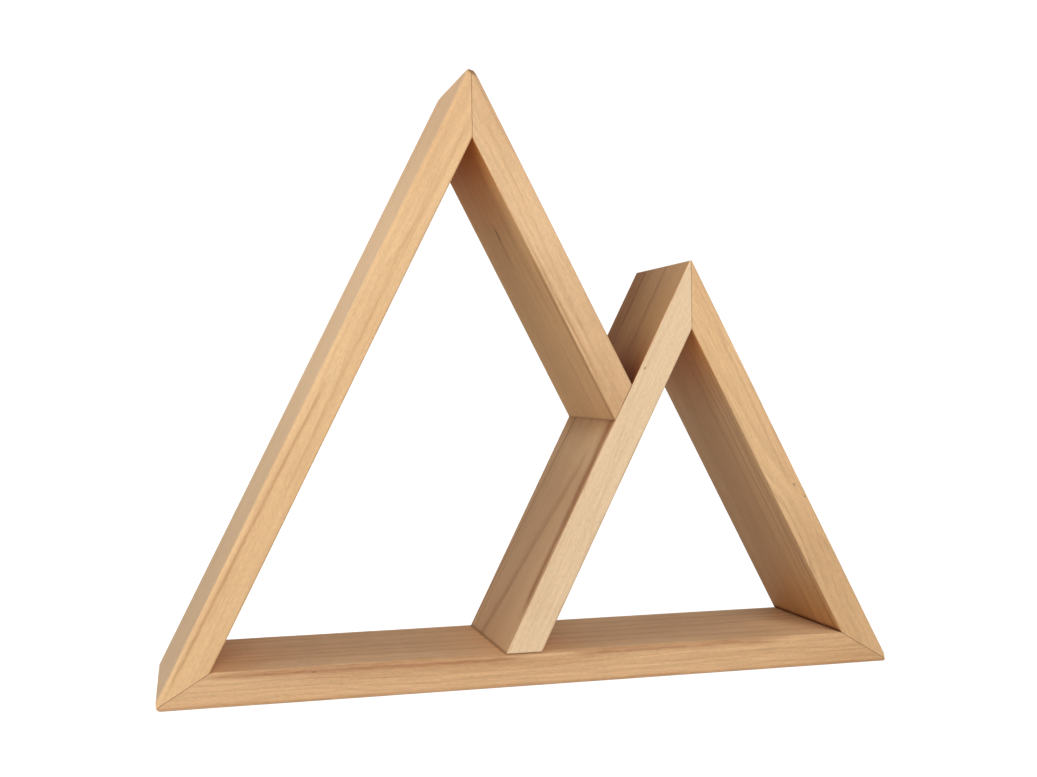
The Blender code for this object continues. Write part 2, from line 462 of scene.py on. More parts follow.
def board_mesh(board, sanding, pockets):
    """The board as a closed, smooth-shaded mesh with its marks."""

    def start_inset(depth):
        return end_inset(board, board.start, sanding.start_tip, depth)

    def stop_inset(depth):
        return end_inset(board, board.end, sanding.end_tip, depth)

    lines = grid_lines(board, pockets, start_inset, stop_inset)
    points = board_points(board, sanding, lines, start_inset, stop_inset)
    mesh = shell_mesh(f"{board.node}_wood", points)
    shell = bmesh.new()
    shell.from_mesh(mesh)
    cut_pockets(shell, board, pockets)
    wear_surface(shell, board, sanding)
    bmesh.ops.recalc_face_normals(shell, faces=shell.faces)
    for face in shell.faces:
        face.smooth = True
    shell.to_mesh(mesh)
    shell.free()
    store_marks(mesh, board, sanding)
    return mesh


def build_board(board, sanding, wood, joints=()):
    """Puts the finished board in its CAD node's place. The joints are those pinned through it."""
    mesh = board_mesh(board, sanding, head_boxes(board, joints))
    mesh.materials.append(wood_material(board.node.replace("_board", "_wood"), wood))
    piece = add_object(f"{board.node}_wood", mesh)
    even = piece.modifiers.new("even_shading", "WEIGHTED_NORMAL")
    even.keep_sharp = True
    even.weight = 100
    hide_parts(board.node)
    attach(piece, "root")


# Materials

NOISE_SHIFT = (1.0, 1.7, 2.3)  # the way in which a noise's offset moves it
NOISE_GAIN = 3.0  # brings a noise texture's usual span to about -1 to 1


class Graph:
    """Short calls that add nodes to one material."""

    def __init__(self, name):
        self.material = bpy.data.materials.new(name)
        self.material.use_nodes = True
        self.tree = self.material.node_tree
        self.shader = self.tree.nodes["Principled BSDF"]

    def put(self, socket, value):
        """Links another node's output to the socket, or sets its number, vector or colour."""
        if isinstance(value, bpy.types.NodeSocket):
            self.tree.links.new(value, socket)
        elif isinstance(value, (tuple, list)) and len(value) == 3 and socket.type == "RGBA":
            socket.default_value = (*value, 1.0)
        else:
            socket.default_value = value

    def shade(self, name, value):
        """Sets or links one input of the material's shader."""
        self.put(self.shader.inputs[name], value)

    def node(self, kind, **settings):
        node = self.tree.nodes.new(kind)
        for name, value in settings.items():
            setattr(node, name, value)
        return node

    def attribute(self, name, output):
        return self.node("ShaderNodeAttribute", attribute_name=name).outputs[output]

    def math(self, operation, *values, clamp=False):
        node = self.node("ShaderNodeMath", operation=operation, use_clamp=clamp)
        for socket, value in zip(node.inputs, values):
            self.put(socket, value)
        return node.outputs[0]

    def vector(self, operation, a, b):
        node = self.node("ShaderNodeVectorMath", operation=operation)
        self.put(node.inputs[0], a)
        self.put(node.inputs[1], b)
        return node.outputs[0]

    def split(self, vector):
        node = self.node("ShaderNodeSeparateXYZ")
        self.put(node.inputs[0], vector)
        return node.outputs

    def in_millimetres(self, place):
        return self.vector("MULTIPLY", place, (1.0 / MM, 1.0 / MM, 1.0 / MM))

    def noise(self, place, scales, detail, roughness, offset):
        """Smooth noise around 0, from about -1 to 1, with its own scale per axis, per millimetre."""
        stretched = self.vector("MULTIPLY", place, scales)
        moved = self.vector("ADD", stretched, tuple(offset * share for share in NOISE_SHIFT))
        node = self.node("ShaderNodeTexNoise", noise_dimensions="3D")
        self.put(node.inputs["Vector"], moved)
        node.inputs["Scale"].default_value = 1.0
        node.inputs["Detail"].default_value = detail
        node.inputs["Roughness"].default_value = roughness
        centred = self.math("SUBTRACT", node.outputs[0], 0.5)
        return self.math("MULTIPLY", centred, NOISE_GAIN)

    def smooth(self, value, low, high):
        """0 below `low`, 1 above `high`, eased between. `low` may be the higher of the two."""
        node = self.node("ShaderNodeMapRange", interpolation_type="SMOOTHSTEP")
        self.put(node.inputs["Value"], value)
        self.put(node.inputs["From Min"], low)
        self.put(node.inputs["From Max"], high)
        return node.outputs[0]

    def mix(self, factor, a, b, blend="MIX"):
        """Colour `a`, with `b` over it by `factor`."""
        node = self.node("ShaderNodeMix", data_type="RGBA", blend_type=blend)
        node.clamp_factor = True
        self.put(node.inputs["Factor"], factor)
        colour_a, colour_b = node.inputs[6:8]
        self.put(colour_a, a)
        self.put(colour_b, b)
        return node.outputs[2]

    def grey(self, value):
        """The number as a colour."""
        node = self.node("ShaderNodeCombineColor")
        for socket in node.inputs:
            self.put(socket, value)
        return node.outputs[0]

    def bump(self, height, strength, distance):
        """Gives the shader's surface the relief of `height`."""
        node = self.node("ShaderNodeBump")
        self.put(node.inputs["Height"], height)
        self.put(node.inputs["Strength"], strength)
        self.put(node.inputs["Distance"], distance)
        self.shade("Normal", node.outputs[0])

    def product(self, *values):
        total = values[0]
        for value in values[1:]:
            total = self.math("MULTIPLY", total, value)
        return total

    def total(self, *values):
        total = values[0]
        for value in values[1:]:
            total = self.math("ADD", total, value)
        return total


@dataclass
class Streak:
    """A dark growth line or wider band, some of them painted shade: a sheet through the thickness,
    `place` mm across at the board's start.

    A `level` streak lies flat in the board instead, `place` mm out from its outer face. A streak
    shows from `begin` to `finish` along the board, and fades in and out over `fade`.
    """

    place: float
    drift: float = 0.0  # mm per mm along
    width: float = 1.0
    strength: float = 0.5
    begin: float = -100.0
    finish: float = 1000.0
    fade: float = 20.0
    wobble: float = 1.0
    level: bool = False


@dataclass
class PaintedFaceShading:
    """A tint of painted light, shade or sheen over the whole wide face at `depth`."""

    depth: float
    tint: tuple
    strength: float = 1.0


@dataclass
class PaintedShade:
    """Painted shade, or light where its tint is above 1, on the wide face at `depth`: full at `along`,
    fading out over `reach` both ways.
    """

    depth: float
    along: float
    reach: float
    strength: float
    tint: tuple = PAINTED_WARM_SHADE


@dataclass
class Wood:
    """One board's timber. Lengths are in millimetres, colours are linear."""

    pale: tuple
    honey: tuple
    ring: tuple
    pith: tuple = (10.0, -60.0)  # across, out
    pith_drift: tuple = (0.0, 0.0)  # per mm along
    spacing: float = 5.0
    ring_strength: float = 0.3
    fibre_strength: float = 0.12
    blotch_strength: float = 0.5
    streaks: list = field(default_factory=list)
    knots: list = field(default_factory=list)  # (centre, size)
    # painted light, shade and sheen: over whole faces, and fading along a face
    painted_face_shading: list = field(default_factory=list)
    painted_shades: list = field(default_factory=list)
    seed: float = 0.0


RING_BEND = 5.0  # mm by which a ring strays slowly from a circle round the pith
RING_JITTER = 0.5  # mm by which it strays from it finely
YEAR_VARIATION = 0.35  # in years, how unlike each other the ring widths are


def year_noise(graph, years, scale, detail, offset):
    """Noise that depends on the year a point's wood grew in."""
    node = graph.node("ShaderNodeCombineXYZ")
    graph.put(node.inputs[0], years)
    return graph.noise(node.outputs[0], (scale, 1.0, 1.0), detail, 0.5, offset)


def ring_pattern(graph, place, wood):
    """The late, dark part of each growth ring, 0 to 1: stronger in some years, and the same in all."""
    along, across, out = graph.split(place)
    wide = graph.noise(place, (0.009, 0.035, 0.035), 2.0, 0.5, wood.seed + 1.0)
    fine = graph.noise(place, (0.03, 0.2, 0.2), 2.0, 0.5, wood.seed + 2.0)
    pith_across = graph.math("MULTIPLY_ADD", along, wood.pith_drift[0], wood.pith[0])
    pith_out = graph.math("MULTIPLY_ADD", along, wood.pith_drift[1], wood.pith[1])
    side = graph.math("SUBTRACT", across, pith_across)
    up = graph.math("SUBTRACT", out, pith_out)
    radius = graph.math("SQRT", graph.total(graph.product(side, side), graph.product(up, up)))
    radius = graph.total(radius, graph.product(wide, RING_BEND), graph.product(fine, RING_JITTER))
    years = graph.math("DIVIDE", radius, wood.spacing)
    uneven = year_noise(graph, years, 0.9, 2.0, wood.seed + 9.0)
    years = graph.total(years, graph.product(uneven, YEAR_VARIATION))
    phase = graph.math("FRACT", years)
    late = graph.product(graph.smooth(phase, 0.25, 0.93), graph.smooth(phase, 1.0, 0.94))
    which = year_noise(graph, years, 0.6, 1.0, wood.seed)
    return graph.product(late, graph.smooth(which, -0.5, 0.6)), late


def streak_pattern(graph, place, wood):
    """The board's single dark growth lines and bands, some of them painted shade: 0 in clear wood,
    about 1 in a strong line.
    """
    along, across, out = graph.split(place)
    total = 0.0
    for number, streak in enumerate(wood.streaks):
        offset = wood.seed + 11.0 + number
        wobble = graph.noise(place, (0.03, 0.01, 0.01), 4.0, 0.6, offset)
        line = graph.math("MULTIPLY_ADD", along, streak.drift, streak.place)
        line = graph.total(line, graph.product(wobble, streak.wobble))
        away = graph.math("SUBTRACT", out if streak.level else across, line)
        ratio = graph.math("DIVIDE", away, streak.width)
        bell = graph.math("EXPONENT", graph.product(ratio, ratio, -1.0))
        window = graph.product(
            graph.smooth(along, streak.begin, streak.begin + streak.fade),
            graph.smooth(along, streak.finish, streak.finish - streak.fade),
        )
        grain = graph.noise(place, (0.1, 0.9, 0.9), 3.0, 0.6, offset + 5.0)
        broken = graph.math("MULTIPLY_ADD", grain, 0.4, 0.85)
        total = graph.total(graph.product(bell, window, broken, streak.strength), total)
    return total


def knot_pattern(graph, place, wood):
    """Small dark marks and pin knots, 1 in the middle of each: ellipsoids along the grain."""
    total = 0.0
    for centre, size in wood.knots:
        shifted = graph.vector("SUBTRACT", place, centre)
        scaled = graph.vector("MULTIPLY", shifted, tuple(1.0 / length for length in size))
        node = graph.node("ShaderNodeVectorMath", operation="LENGTH")
        graph.put(node.inputs[0], scaled)
        total = graph.total(graph.smooth(node.outputs["Value"], 1.0, 0.2), total)
    return total


# The tints of a face are its painted light, shade and sheen.
FACE_FLAT = 0.06  # mm under a wide face that its wavering surface still reaches
FACE_FADE = 0.4  # mm under it, where the face's own tints are gone


def face_mask(graph, out, depth):
    """1 on the wide face at `depth`, fading out where its arrises curve away from it."""
    under = graph.math("ABSOLUTE", graph.math("ADD", out, depth))
    return graph.smooth(under, FACE_FADE, FACE_FLAT)


SHADE_WANDER = 0.12  # how far a shade's border strays, as a share of its reach


def paint_face_shading(graph, place, wood, colour):
    """The colour with the board's painted light, shade and sheen over it."""
    along, across, out = graph.split(place)
    wander = graph.noise(place, (0.02, 0.12, 0.12), 3.0, 0.6, wood.seed + 8.0)
    for face_shading in wood.painted_face_shading:
        mask = face_mask(graph, out, face_shading.depth)
        tinted = graph.mix(1.0, colour, face_shading.tint, "MULTIPLY")
        colour = graph.mix(graph.product(mask, face_shading.strength), colour, tinted)
    for shade in wood.painted_shades:
        away = graph.math("ABSOLUTE", graph.math("SUBTRACT", along, shade.along))
        uneven = graph.math("MULTIPLY_ADD", wander, SHADE_WANDER * shade.reach, away)
        near = graph.smooth(uneven, shade.reach, 0.0)
        mask = face_mask(graph, out, shade.depth)
        tinted = graph.mix(1.0, colour, shade.tint, "MULTIPLY")
        colour = graph.mix(graph.product(near, mask, shade.strength), colour, tinted)
    return colour


@dataclass
class Grain:
    """The patterns that one board's colour and relief are mixed from, as node outputs."""

    place: object  # along, across and out, in millimetres
    rings: object  # late wood, darker in some years
    late: object  # late wood, alike in all years
    fibre: object
    hair: object
    blotch: object
    mottle: object
    pores: object
    patchy: object
    worn: object  # rubbed arrises


def grain_patterns(graph, wood):
    """Each noise is long along the board and fine across it, and is moved by its own seed."""
    place = graph.in_millimetres(graph.attribute("grain_place", "Vector"))
    rings, late = ring_pattern(graph, place, wood)
    fibre = graph.noise(place, (0.03, 1.1, 1.1), 3.0, 0.6, wood.seed + 3.0)
    hair = graph.noise(place, (0.12, 5.0, 5.0), 2.0, 0.6, wood.seed + 4.0)
    blotch = graph.noise(place, (0.012, 0.07, 0.07), 3.0, 0.55, wood.seed + 5.0)
    mottle = graph.noise(place, (0.4, 1.4, 1.4), 3.0, 0.7, wood.seed + 10.0)
    dashes = graph.noise(place, (0.3, 2.4, 2.4), 2.0, 0.6, wood.seed + 6.0)
    pores = graph.smooth(dashes, 0.45, 1.0)
    patchy = graph.noise(place, (0.05, 0.3, 0.3), 2.0, 0.6, wood.seed + 7.0)
    worn = graph.product(graph.attribute("arris", "Fac"), graph.smooth(patchy, -0.3, 0.6))
    return Grain(place, rings, late, fibre, hair, blotch, mottle, pores, patchy, worn)


# How strongly each feature shows in a board's colour
MOTTLE_SHOW = 0.14
PORE_SHOW = 0.4
KNOT_SHOW = 0.65
WEAR_SHOW = 0.5
STAIN_SHOW = 0.6
BARED_SHOW = 0.8


def scaled(colour, factor):
    return tuple(channel * factor for channel in colour)


def wood_colour(graph, grain, wood):
    """The clean wood: ground colour, rings, streaks, fibres, pores, knots, and the painted light and
    shade on its faces.
    """
    streaks = streak_pattern(graph, grain.place, wood)
    knots = knot_pattern(graph, grain.place, wood)
    honeyed = graph.math("MULTIPLY_ADD", grain.blotch, wood.blotch_strength, 0.5)
    ground = graph.mix(honeyed, wood.pale, wood.honey)
    dark = graph.math("MULTIPLY_ADD", grain.rings, wood.ring_strength, streaks, clamp=True)
    colour = graph.mix(dark, ground, wood.ring)
    fine = graph.total(
        graph.product(grain.fibre, wood.fibre_strength),
        graph.product(grain.hair, wood.fibre_strength),
        graph.product(grain.mottle, MOTTLE_SHOW),
    )
    colour = graph.mix(1.0, colour, graph.grey(graph.math("ADD", fine, 1.0)), "MULTIPLY")
    colour = graph.mix(graph.product(grain.pores, PORE_SHOW), colour, scaled(wood.ring, 0.55))
    colour = graph.mix(graph.product(knots, KNOT_SHOW), colour, KNOT_COLOUR)
    return paint_face_shading(graph, grain.place, wood, colour)


def wear_colour(graph, grain, wood, colour):
    """Browned arrises, glue stain along the joints, and end grain where a tip was sanded off."""
    colour = graph.mix(graph.product(grain.worn, WEAR_SHOW), colour, scaled(wood.ring, 1.1))
    seam = graph.smooth(graph.attribute("seam", "Fac"), 0.72, 1.0)
    patches = graph.total(grain.mottle, graph.product(grain.patchy, 0.6))
    stain = graph.smooth(patches, -0.2, 0.6)
    colour = graph.mix(graph.product(seam, stain, STAIN_SHOW), colour, GLUE_STAIN)
    bared = graph.product(graph.attribute("bared", "Fac"), BARED_SHOW)
    return graph.mix(bared, colour, scaled(wood.ring, 0.55))


def finish_wood(graph, grain):
    """A satin clear finish over the grain's relief."""
    rough = graph.total(
        0.6,
        graph.product(grain.late, -0.06),
        graph.product(grain.fibre, 0.05),
        graph.product(grain.worn, -0.1),
    )
    graph.shade("Roughness", rough)
    graph.shade("IOR", 1.42)
    relief = graph.total(
        graph.product(grain.late, 0.5),
        graph.product(grain.fibre, 0.35),
        graph.product(grain.hair, 0.25),
        graph.product(grain.pores, -1.2),
    )
    graph.bump(relief, strength=0.35, distance=0.06 * MM)


def wood_material(name, wood):
    graph = Graph(name)
    grain = grain_patterns(graph, wood)
    colour = wood_colour(graph, grain, wood)
    colour = wear_colour(graph, grain, wood, colour)
    graph.shade("Base Color", colour)
    finish_wood(graph, grain)
    return graph.material


def steel_material(name):
    """Galvanised brad wire: grey, with fine draw marks, duller in patches."""
    graph = Graph(name)
    place = graph.in_millimetres(graph.node("ShaderNodeTexCoord").outputs["Object"])
    drawn = graph.noise(place, (4.0, 9.0, 4.0), 3.0, 0.6, 2.0)
    dull = graph.noise(place, (0.8, 0.8, 0.8), 2.0, 0.6, 9.0)
    colour = graph.mix(graph.smooth(dull, -0.4, 0.7), BRIGHT_STEEL, DULL_STEEL)
    rough = graph.total(0.38, graph.product(drawn, 0.08), graph.product(dull, 0.06))
    graph.shade("Base Color", colour)
    graph.shade("Metallic", 1.0)
    graph.shade("Roughness", rough)
    graph.bump(drawn, strength=0.3, distance=0.03 * MM)
    return graph.material


# The five boards

base = read_board("base_board", faces_up=False)
large_left = read_board("large_left_board")
large_right = read_board("large_right_board")
small_left = read_board("small_left_board")
small_right = read_board("small_right_board")
INNER = base.thickness  # the depth of every board's inner face under its outer one
INNER_MM = INNER / MM
FRONT_MM = base.front / MM  # where the front faces are across a board
# mm over which the painted shadow line in a corner fades
PAINTED_CORNER_SHADOW_REACH = 2.0


def painted_corner_shades(board, depth, other, other_depth, wide, line, reach=48.0):
    """Painted shade where two faces meet: a broad warm shade, and a thin painted shadow line in the
    corner.
    """
    along = corner(board, depth, other, other_depth)
    return [
        PaintedShade(depth / MM, along, reach, wide),
        PaintedShade(depth / MM, along, PAINTED_CORNER_SHADOW_REACH, line, PAINTED_CORNER_SHADOW),
    ]


def corner_facet(place, direction, depth, bared=False):
    """A flat that takes `depth` off the frame's corner at `place`."""
    direction = Vector(direction).normalized()
    return Facet(Vector(place) - direction * depth, direction, bared)


def apex_facets():
    """The large peak's tip was blunted by hand: on top, at the front and at the back."""
    low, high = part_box("large_left_board")
    front_tip = (high.x, low.y, high.z)
    back_tip = (high.x, high.y, high.z)
    return [
        corner_facet(front_tip, (0.28, -0.1, 0.95), 1.9 * MM, bared=True),
        corner_facet(front_tip, (0.3, -0.7, 0.65), 2.6 * MM, bared=True),
        corner_facet(back_tip, (-0.45, 0.6, 0.66), 2.2 * MM),
    ]


def left_corner_facet():
    """The frame's left-hand corner was sanded upright, more at the back than at the front."""
    low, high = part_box("large_left_board")
    return corner_facet((low.x, high.y, 0.0), (-1.0, 0.014, -0.12), 3.3 * MM)


def right_corner_facet():
    """The sharp right-hand corner of the frame was sanded square."""
    return corner_facet((cad_high.x, 0.0, 0.0), (1.0, 0.0, 0.05), 1.6 * MM)


def make_base():
    """Brown and closely ringed. Its outer face is the underside, its inner face the shelf's floor."""
    crisp_radius = 1.0 * MM
    extra_radius = 1.6 * MM
    crisp_length = 30.0 * MM
    change_length = 45.0 * MM

    def worn_between_mitres(along):
        """The upper front edge is crisp at the mitres and well rounded between them."""
        near_end = min(along, base.length() - along)
        share = min(1.0, max(0.0, (near_end - crisp_length) / change_length))
        return crisp_radius + extra_radius * share * share * (3.0 - 2.0 * share)

    sanding = Sanding(
        front_inner=worn_between_mitres, start_tip=1.3 * MM, end_tip=3.0 * MM,
        facets=[right_corner_facet(), left_corner_facet()], seed=3.0,
    )
    wood = Wood(
        pale=(0.70, 0.445, 0.24), honey=(0.62, 0.375, 0.178), ring=(0.40, 0.19, 0.08),
        pith=(-20.0, -95.0), pith_drift=(0.02, 0.01), spacing=3.2, ring_strength=0.27,
        fibre_strength=0.14, seed=3.0,
        streaks=[
            Streak(-15.2, width=1.3, strength=0.9, begin=205.0, finish=380.0, level=True, wobble=0.6),
            Streak(-15.4, width=1.1, strength=0.9, begin=60.0, finish=190.0, level=True, wobble=0.6),
            Streak(-16.9, width=0.7, begin=50.0, finish=370.0, level=True, wobble=0.3),
            Streak(-12.5, width=3.0, strength=0.42, begin=140.0, finish=365.0, fade=60.0, level=True),
            # a thin dark line just above the bottom front edge
            Streak(-1.2, width=0.6, level=True, wobble=0.3),
            Streak(-6.0, width=9.0, strength=0.25, finish=60.0, fade=50.0, level=True),
            Streak(-30.0, drift=0.03, width=2.0, strength=0.3, wobble=2.0),
            Streak(-14.0, drift=0.01, width=1.4, strength=0.3, wobble=2.0),
            Streak(5.0, drift=-0.02, width=2.6, strength=0.26, wobble=3.0),
            Streak(15.0, drift=-0.01, width=1.2, strength=0.3, wobble=2.0),
            Streak(24.0, drift=0.02, width=1.6, strength=0.32, wobble=2.0),
            Streak(36.0, drift=0.01, width=1.5, strength=0.26, wobble=2.0),
        ],
        knots=[((320.0, FRONT_MM, -14.8), (2.2, 1.5, 0.6))],
        # Painted light and sheen: the shelf's floor made lighter and bluer.
        painted_face_shading=[PaintedFaceShading(INNER_MM, (1.15, 1.22, 1.33))],
        # Painted shade and shadow lines in the corners where the other boards meet the shelf's floor.
        painted_shades=[
            *painted_corner_shades(base, INNER, large_left, INNER, 0.3, 0.3),
            *painted_corner_shades(base, INNER, small_left, 0.0, 0.2, 0.6),
            *painted_corner_shades(base, INNER, small_left, INNER, 0.3, 0.4),
            *painted_corner_shades(base, INNER, small_right, INNER, 0.0, 0.2),
        ],
    )
    joints = ("left_corner", "right_corner", "foot")
    build_board(base, sanding, wood, joints)


def make_large_left():
    """Pale and even, with painted sheen whitening its outer face, and its two outer edges well
    rounded.
    """
    sanding = Sanding(
        front_outer=2.2 * MM, back_outer=2.4 * MM, start_tip=3.0 * MM, end_tip=0.95 * MM,
        facets=[*apex_facets(), left_corner_facet()], seed=5.0,
    )
    wood = Wood(
        pale=(0.76, 0.50, 0.26), honey=(0.70, 0.43, 0.21), ring=(0.52, 0.28, 0.12),
        pith=(-75.0, -30.0), pith_drift=(0.02, 0.015), spacing=4.5, ring_strength=0.2,
        fibre_strength=0.09, seed=5.0,
        streaks=[
            Streak(-2.8, drift=-0.012, width=0.8, strength=0.85, level=True, begin=5.0, finish=190.0),
            # a broad band, darker towards the peak
            Streak(-2.0, width=7.0, strength=0.35, level=True, begin=270.0, fade=70.0),
            Streak(-13.0, drift=0.012, strength=0.35, level=True, begin=110.0, finish=320.0),
            Streak(-9.5, drift=-0.008, width=0.6, strength=0.3, level=True, begin=200.0, finish=350.0),
        ],
        # Painted sheen: the outer face made lighter and whiter.
        painted_face_shading=[PaintedFaceShading(0.0, (1.24, 1.31, 1.50))],
        painted_shades=[
            # The outer face darker and greyer towards the left corner.
            PaintedShade(0.0, 0.0, 300.0, 0.9, (0.70, 0.70, 0.68)),
            # Painted shade up inside the peak and where the board meets the shelf's floor.
            *painted_corner_shades(large_left, INNER, large_right, INNER, 1.0, 0.3, reach=70.0),
            *painted_corner_shades(large_left, INNER, base, INNER, 0.4, 0.4),
        ],
    )
    build_board(large_left, sanding, wood)


def make_large_right():
    """Strong rings on its inner face, and painted shade that darkens it up to the peak, partly as a
    broad streak.
    """
    peak = corner(large_right, INNER, large_left, INNER)
    sanding = Sanding(
        start_tip=0.95 * MM, end_closing=BUTT_CLOSING, facets=apex_facets(), seed=7.0
    )
    wood = Wood(
        pale=(0.74, 0.485, 0.27), honey=(0.67, 0.42, 0.21), ring=(0.44, 0.23, 0.10),
        pith=(-60.0, 25.0), pith_drift=(-0.02, 0.02), spacing=4.0, ring_strength=0.34, seed=7.0,
        streaks=[
            Streak(1.5, width=2.4, strength=0.6, begin=82.0, finish=108.0, fade=9.0, wobble=0.4),
            Streak(-15.0, drift=-0.09, strength=0.35, begin=100.0),
            # Painted shade: a broad dark streak down from the peak.
            Streak(-25.0, width=6.0, begin=20.0, finish=150.0, fade=60.0, wobble=1.5),
            Streak(-28.0, drift=-0.04, width=0.9, strength=0.4, begin=60.0, wobble=1.2),
            Streak(-10.0, drift=-0.03, width=1.4, strength=0.3, begin=50.0, wobble=1.2),
            Streak(-37.0, drift=-0.01, width=0.7, strength=0.35, begin=40.0),
            Streak(-40.5, drift=-0.01, width=2.2, strength=0.95, begin=95.0, wobble=0.8),
            Streak(-15.6, width=0.8, strength=0.6, begin=85.0, finish=188.0, level=True, wobble=0.5),
            Streak(-6.0, width=12.0, strength=0.28, finish=65.0, fade=55.0, level=True),
            Streak(-6.0, drift=-0.03, width=0.8, strength=0.3, begin=20.0, finish=160.0, level=True),
        ],
        knots=[((85.0, 0.0, -17.5), (7.0, 3.0, 2.0))],
        # Painted shade: the inner face browner.
        painted_face_shading=[PaintedFaceShading(INNER_MM, (1.0, 0.93, 0.74))],
        painted_shades=[
            # Painted shade up under the peak and at the lower end, where the board meets the small
            # peak.
            *painted_corner_shades(large_right, INNER, large_left, INNER, 0.9, 0.3, reach=64.0),
            PaintedShade(INNER_MM, peak, 26.0, 0.35, PAINTED_DEEP_SHADE),
            *painted_corner_shades(large_right, INNER, small_left, 0.0, 0.1, 0.2),
            *painted_corner_shades(large_right, 0.0, small_left, 0.0, 0.6, 0.3),
        ],
    )
    build_board(large_right, sanding, wood, joints=("large_peak",))


def make_small_left():
    """The palest front, and an outer face browned by painted shade, with the joint across its middle.
    """
    valley = corner(small_left, 0.0, large_right, 0.0)
    under = corner(small_left, 0.0, large_right, INNER)
    split = 165.0  # just above the valley, where the growth lines change
    flush_radius = 0.3 * MM
    extra_radius = 0.5 * MM
    change_length = 6.0 * MM

    def flush_at_the_joint(along):
        """The front was sanded flat right across the end of the board that leans on this one."""
        away = max(0.0, under * MM - along, along - valley * MM)
        return flush_radius + extra_radius * min(1.0, away / change_length)

    sanding = Sanding(
        front_outer=flush_at_the_joint, end_tip=0.9 * MM, start_closing=BUTT_CLOSING, seed=9.0
    )
    wood = Wood(
        pale=(0.78, 0.58, 0.365), honey=(0.70, 0.495, 0.29), ring=(0.38, 0.165, 0.065),
        pith=(15.0, -70.0), pith_drift=(-0.1, 0.03), spacing=5.5, ring_strength=0.14,
        blotch_strength=0.2, fibre_strength=0.1, seed=9.0,
        streaks=[
            Streak(-39.0, drift=0.012, width=3.4, strength=0.9, begin=15.0, finish=split, wobble=1.6),
            Streak(-42.0, drift=0.01, width=1.4, strength=0.7, begin=60.0, finish=split),
            Streak(42.5, drift=-0.095, strength=0.7, finish=split, wobble=1.2),
            Streak(35.0, drift=-0.05, width=0.9, finish=split, wobble=1.2),
            Streak(28.0, drift=-0.03, width=0.7, strength=0.45, begin=40.0, finish=split, wobble=1.2),
            Streak(17.0, drift=-0.34, width=4.5, strength=0.35, finish=125.0, wobble=3.0),
            Streak(14.0, drift=-0.33, width=1.2, strength=0.3, finish=110.0, wobble=3.0),
            # Painted shade: the back half of the board darker above the valley.
            Streak(42.0, width=25.0, strength=0.8, begin=split, finish=260.0),
            Streak(12.0, drift=0.062, width=1.6, begin=split, wobble=1.5),
            Streak(-22.0, drift=0.06, width=2.4, strength=0.4, begin=split, wobble=2.0),
        ],
        knots=[((167.6, FRONT_MM, -2.6), (1.4, 1.2, 0.8))],
        # Painted shade: the outer face browner.
        painted_face_shading=[PaintedFaceShading(0.0, (0.84, 0.70, 0.59), 0.8)],
        painted_shades=[
            # Painted shade deep in the valley and across the face above it.
            PaintedShade(0.0, valley, 42.0, 1.0, PAINTED_DEEP_SHADE),
            PaintedShade(0.0, valley, 20.0, 0.8, PAINTED_DEEP_SHADE),
            PaintedShade(0.0, valley + 30.0, 80.0, 0.85, (0.85, 0.72, 0.50)),
            # Painted light: the face lighter just below the joint.
            PaintedShade(0.0, under - 8.0, 36.0, 0.7, (1.22, 1.34, 1.38)),
            # Painted shade and shadow lines in the corners where other boards meet this one.
            *painted_corner_shades(small_left, 0.0, large_right, INNER, 0.0, 0.25),
            *painted_corner_shades(small_left, 0.0, base, INNER, 0.1, 0.5),
            *painted_corner_shades(small_left, INNER, base, INNER, 0.4, 0.4),
            *painted_corner_shades(small_left, INNER, small_right, INNER, 0.8, 0.3),
        ],
    )
    build_board(small_left, sanding, wood, joints=("valley",))


def make_small_right():
    """Fine, wandering rings on its inner face, and two pin knots on its front."""
    foot = corner(small_right, INNER, base, INNER)
    sanding = Sanding(
        start_tip=0.9 * MM, end_tip=1.3 * MM, facets=[right_corner_facet()], seed=11.0
    )
    wood = Wood(
        pale=(0.74, 0.48, 0.25), honey=(0.66, 0.40, 0.19), ring=(0.42, 0.23, 0.11),
        pith=(-52.0, -8.0), pith_drift=(0.01, 0.02), spacing=3.0, ring_strength=0.36, seed=11.0,
        streaks=[
            Streak(-24.0, drift=-0.02, width=0.9, begin=40.0, wobble=3.0),
            Streak(-30.0, drift=-0.03, width=0.7, strength=0.6, begin=60.0, wobble=3.5),
            Streak(-34.0, drift=-0.02, width=0.6, strength=0.55, begin=90.0, wobble=3.5),
            Streak(-37.0, drift=-0.01, width=0.8, strength=0.6, begin=50.0, wobble=3.0),
            Streak(-8.0, width=12.0, strength=0.3, begin=110.0, fade=70.0, level=True),
            Streak(-15.0, drift=0.01, width=1.2, strength=0.3, begin=40.0, wobble=3.0),
            Streak(-3.5, drift=-0.02, width=0.8, strength=0.35, begin=30.0, finish=140.0, level=True),
        ],
        knots=[
            ((137.1, FRONT_MM, -4.1), (1.5, 1.2, 0.9)),
            ((146.0, FRONT_MM, -1.6), (1.1, 1.2, 0.6)),
        ],
        # Painted shade: the inner face darker.
        painted_face_shading=[PaintedFaceShading(INNER_MM, (0.90, 0.87, 0.82))],
        painted_shades=[
            # Painted shade under the small peak and where the board meets the shelf's floor.
            *painted_corner_shades(small_right, INNER, small_left, INNER, 1.0, 0.3, reach=60.0),
            *painted_corner_shades(small_right, INNER, base, INNER, 0.5, 0.5),
            # A painted shadow line in the corner where the inner face meets the shelf's floor.
            PaintedShade(INNER_MM, foot, 3.6, 1.0, (0.36, 0.18, 0.08)),
        ],
    )
    build_board(small_right, sanding, wood, joints=("small_peak",))


def finish_brads():
    """The CAD's brads stay as they are, in steel."""
    steel = steel_material("brad_steel")
    for name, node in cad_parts.items():
        if "_brad_" in name:
            node.data.materials.clear()
            node.data.materials.append(steel)


# Studio

